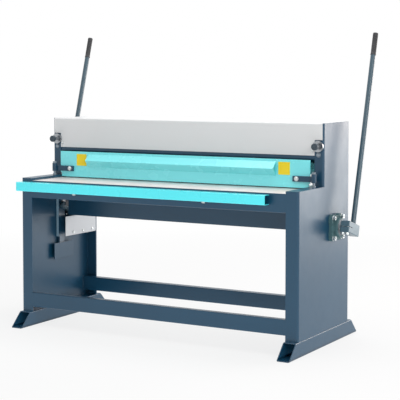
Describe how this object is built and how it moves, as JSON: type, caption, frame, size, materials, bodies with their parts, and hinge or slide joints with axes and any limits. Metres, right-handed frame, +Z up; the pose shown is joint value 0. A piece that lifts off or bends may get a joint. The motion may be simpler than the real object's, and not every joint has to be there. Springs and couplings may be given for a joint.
{
  "type": "guillotine shear",
  "caption": "Lever-driven bench guillotine shear with a flat table, raked moving knife, spring-down clamp beam, torsion shaft and tall hand levers on channel side frames.",
  "frame": {"origin": "middle of the four floor anchor holes, on the floor", "axes": "+X to the operator's right along the blades, +Y from the operator to the back, +Z up; stored at rest with the levers back and the knife and clamp up"},
  "size_m": [1.912, 0.9059, 1.6251],
  "materials": {
    "frame_paint": "gloss navy paint",
    "foot_paint": "gloss navy paint",
    "hood_paint": "white-grey gloss paint",
    "guard_paint": "light grey paint",
    "bar_paint": "cyan gloss paint",
    "clamp_paint": "turquoise gloss paint",
    "yellow_paint": "yellow paint",
    "table_steel": "ground",
    "blade_steel": "ground tool steel",
    "shaft_steel": "turned",
    "zinc_steel": "zinc plated",
    "mechanism_steel": "blue-grey paint",
    "dark_steel": "blackened",
    "housing_iron": "painted casting",
    "hub_paint": "steel-blue paint",
    "lever_steel": "blue-grey paint",
    "grip_rubber": "matt",
    "knob_plastic": "dark blue-grey"
  },
  "bodies": {
    "frame": {"left_foot": "foot_paint", "right_foot": "foot_paint", "left_side_frame": "frame_paint", "right_side_frame": "frame_paint", "front_rail": "frame_paint", "rear_rail": "frame_paint", "apron": "frame_paint", "table_plate": "table_steel", "table_ribs": "frame_paint", "bed_beam": "frame_paint", "lower_blade": "blade_steel", "lower_blade_screws": "zinc_steel", "guide_blocks": "table_steel", "guide_strips": "frame_paint", "front_bar": "bar_paint", "front_bar_bolts": "zinc_steel", "cross_beam": "frame_paint", "hood": "hood_paint", "hood_screws": "zinc_steel", "left_guard": "guard_paint", "right_guard": "guard_paint", "guard_screws": "zinc_steel", "left_bearing_housing": "housing_iron", "right_bearing_housing": "housing_iron", "bearing_inserts": "shaft_steel", "bearing_bolts": "zinc_steel", "left_guide_strap": "frame_paint", "right_guide_strap": "frame_paint", "hold_down_studs": "dark_steel", "adjuster_plates": "shaft_steel", "adjuster_lock_screws": "dark_steel", "strut_cylinders": "mechanism_steel"},
    "lever_shaft": {"torsion_shaft": "shaft_steel", "left_crank": "mechanism_steel", "right_crank": "mechanism_steel", "crank_rollers": "shaft_steel", "left_hub": "hub_paint", "right_hub": "hub_paint", "hub_screws": "zinc_steel", "left_lever": "lever_steel", "right_lever": "lever_steel", "left_grip": "grip_rubber", "right_grip": "grip_rubber"},
    "knife": {"knife_beam": "frame_paint", "upper_blade": "blade_steel", "upper_blade_screws": "zinc_steel", "left_pull_plate": "frame_paint", "right_pull_plate": "frame_paint", "pull_plate_bolts": "zinc_steel", "plunger_housings": "shaft_steel", "strut_rods": "shaft_steel"},
    "clamp": {"clamp_beam": "clamp_paint", "clamp_stiffener": "clamp_paint", "left_clamp_arm": "frame_paint", "right_clamp_arm": "frame_paint", "clamp_arm_bolts": "zinc_steel", "yellow_plates": "yellow_paint", "plunger_rods": "shaft_steel"},
    "left_knob": {"left_knob": "knob_plastic"},
    "right_knob": {"right_knob": "knob_plastic"}
  },
  "joints": [
    {"name": "lever_turn", "type": "hinge", "parent": "frame", "child": "lever_shaft", "pos_m": [0, 0.107, 0.607], "axis": [1, 0, 0], "range_deg": [0, 45]},
    {"name": "knife_slide", "type": "slide", "parent": "frame", "child": "knife", "axis": [0, 0, -1], "range_m": [0, 0.0751], "stiffness_N_per_m": 2400, "springref_m": -0.4},
    {"name": "clamp_slide", "type": "slide", "parent": "frame", "child": "clamp", "axis": [0, 0, -1], "range_m": [0, 0.005]},
    {"name": "left_knob_turn", "type": "hinge", "parent": "frame", "child": "left_knob", "pos_m": [-0.82, -0.06, 1.032], "axis": [0, 1, 0], "range_deg": [-180, 180]},
    {"name": "right_knob_turn", "type": "hinge", "parent": "frame", "child": "right_knob", "pos_m": [0.82, -0.06, 1.032], "axis": [0, 1, 0], "range_deg": [-180, 180]}
  ],
  "couplings": [
    {"joint": "knife_slide", "follows": "lever_turn", "m_per_rad": 0.0955},
    {"joint": "clamp_slide", "follows": "lever_turn", "m_per_rad": 0.00636}
  ]
}
